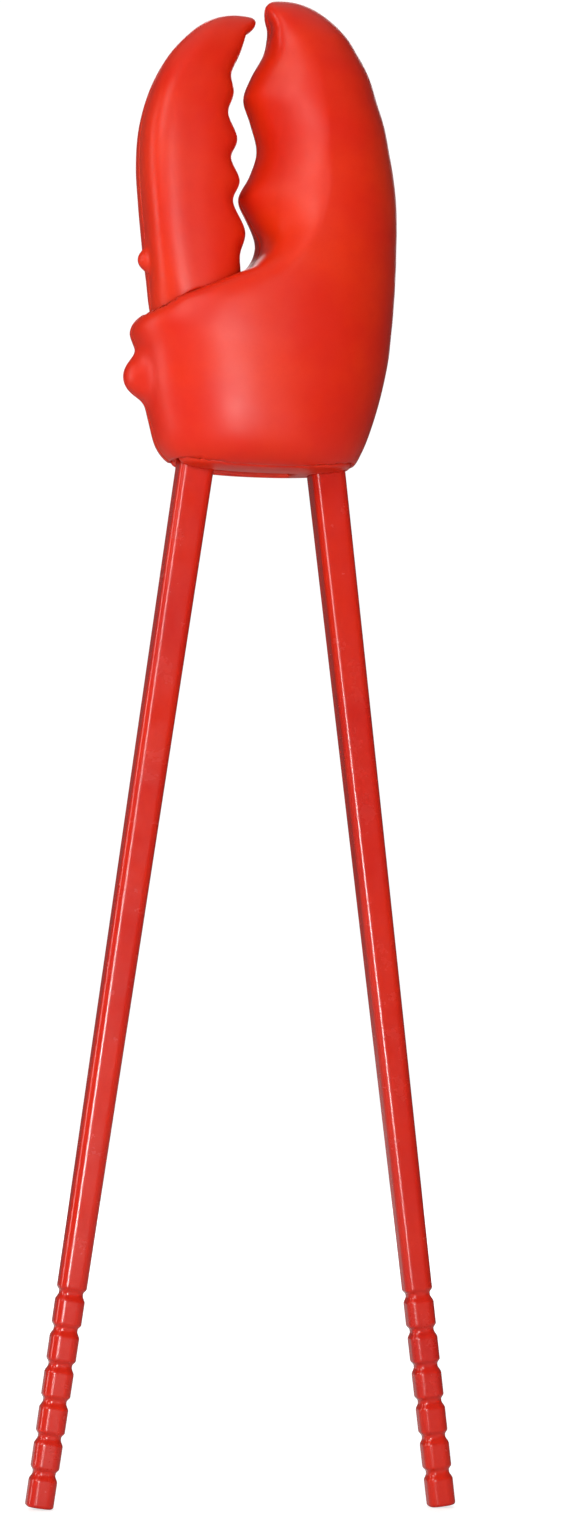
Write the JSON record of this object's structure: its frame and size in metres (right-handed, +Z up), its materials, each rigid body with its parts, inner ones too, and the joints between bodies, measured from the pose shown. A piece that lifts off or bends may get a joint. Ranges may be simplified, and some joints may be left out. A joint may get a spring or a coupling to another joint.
{
  "type": "claw-headed chopsticks",
  "caption": "Chopsticks joined by a crab-claw-shaped head: squeezing the sticks together turns a sprung lever and opens the claw.",
  "frame": {"origin": "midway between the two stick tips, on the surface they stand on", "axes": "+Z up through the head, +X towards the fixed finger of the claw, +Y towards the back"},
  "size_m": [0.0698, 0.0266, 0.2404],
  "materials": {
    "claw_plastic": "satin moulded orange-red plastic",
    "stick_plastic": "glossy moulded red plastic",
    "inner_plastic": "plain moulded red plastic",
    "washer_plastic": "natural acetal",
    "steel": "stainless steel"
  },
  "bodies": {
    "head": {"palm_front_shell": "claw_plastic", "palm_back_shell": "claw_plastic", "base_plate": "claw_plastic", "fixed_stick_socket": "inner_plastic", "right_stick": "stick_plastic", "right_stick_pin": "steel", "pivot_pin": "steel", "pivot_washers": "washer_plastic", "torsion_spring": "steel", "palm_screws": "steel"},
    "claw_lever": {"lever_arm": "inner_plastic", "finger_front_shell": "claw_plastic", "finger_back_shell": "claw_plastic", "finger_screws": "steel", "left_stick": "stick_plastic", "left_stick_pin": "steel"}
  },
  "joints": [
    {"name": "claw_hinge", "type": "hinge", "parent": "head", "child": "claw_lever", "pos_m": [-0.011, 0, 0.1895], "axis": [0, -1, 0], "range_deg": [0, 18.3], "stiffness_Nm_per_rad": 0.25, "springref_deg": -20.05, "deforming": ["torsion_spring"]}
  ]
}
